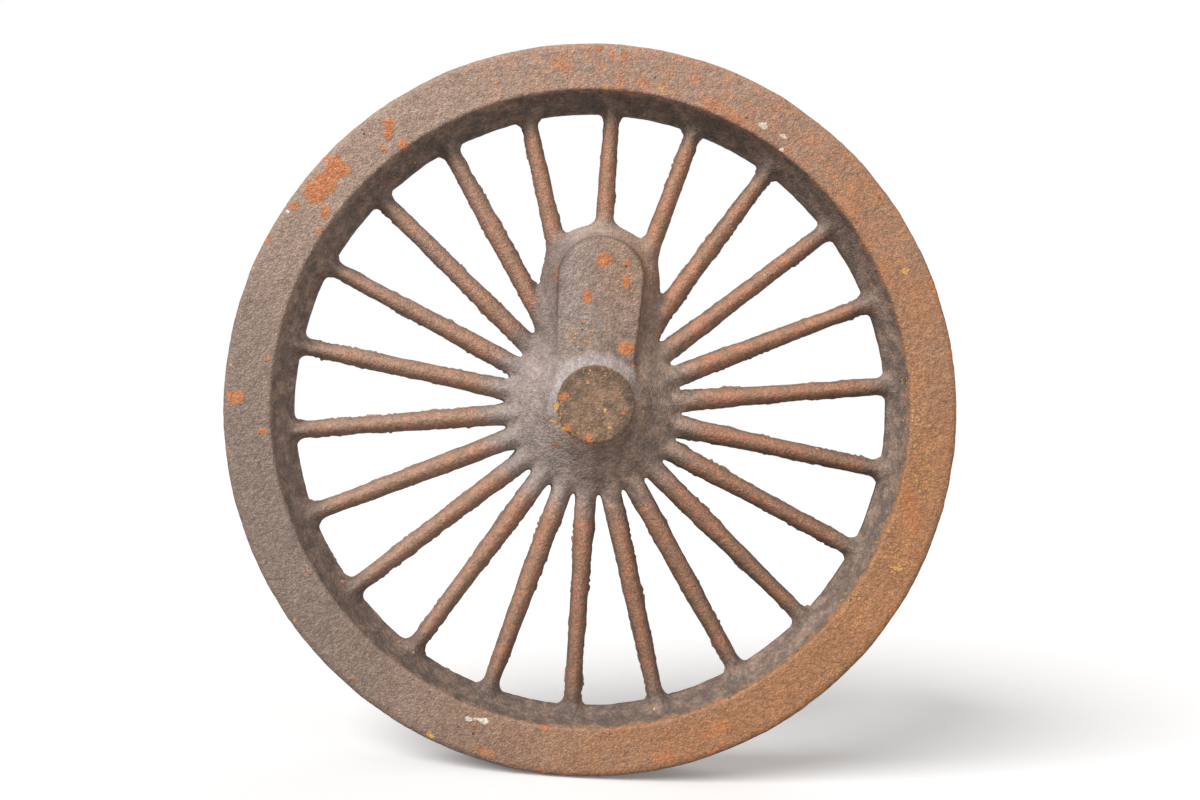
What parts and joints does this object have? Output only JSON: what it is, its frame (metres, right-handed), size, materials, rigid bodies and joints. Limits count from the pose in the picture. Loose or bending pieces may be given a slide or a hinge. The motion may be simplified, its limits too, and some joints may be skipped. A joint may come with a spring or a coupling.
{
  "type": "locomotive driving wheel casting",
  "caption": "Raw spoked driving-wheel casting in rusted iron: plain rim, tapered oval spokes, axle boss on each side and a long crank boss; unbored.",
  "frame": {"origin": "the wheel's centre, on the parting plane midway between the two axle boss faces", "axes": "the wheel turns about Y; the crank side faces -Y; the crank boss points up, along +Z; +X to the right seen from the crank side"},
  "size_m": [0.268, 0.037, 0.268],
  "materials": {
    "rim_skin": "sand-cast skin, brown rust with orange patches",
    "spoke_skin": "sand-cast skin, reddish rust along the crests",
    "hub_skin": "sand-cast skin, grey-brown with sparse rust",
    "boss_skin": "sand-cast skin, olive brown with yellow rust flecks"
  },
  "bodies": {
    "root": {"rim": "rim_skin", "hub": "hub_skin", "axle_boss_front": "boss_skin", "axle_boss_rear": "boss_skin", "crank_boss": "hub_skin", "spoke_01": "spoke_skin", "spoke_02": "spoke_skin", "spoke_03": "spoke_skin", "spoke_04": "spoke_skin", "spoke_05": "spoke_skin", "spoke_06": "spoke_skin", "spoke_07": "spoke_skin", "spoke_08": "spoke_skin", "spoke_09": "spoke_skin", "spoke_10": "spoke_skin", "spoke_11": "spoke_skin", "spoke_12": "spoke_skin", "spoke_13": "spoke_skin", "spoke_14": "spoke_skin", "spoke_15": "spoke_skin", "spoke_16": "spoke_skin", "spoke_17": "spoke_skin", "spoke_18": "spoke_skin", "spoke_19": "spoke_skin", "spoke_20": "spoke_skin", "spoke_21": "spoke_skin", "spoke_22": "spoke_skin"}
  },
  "joints": []
}
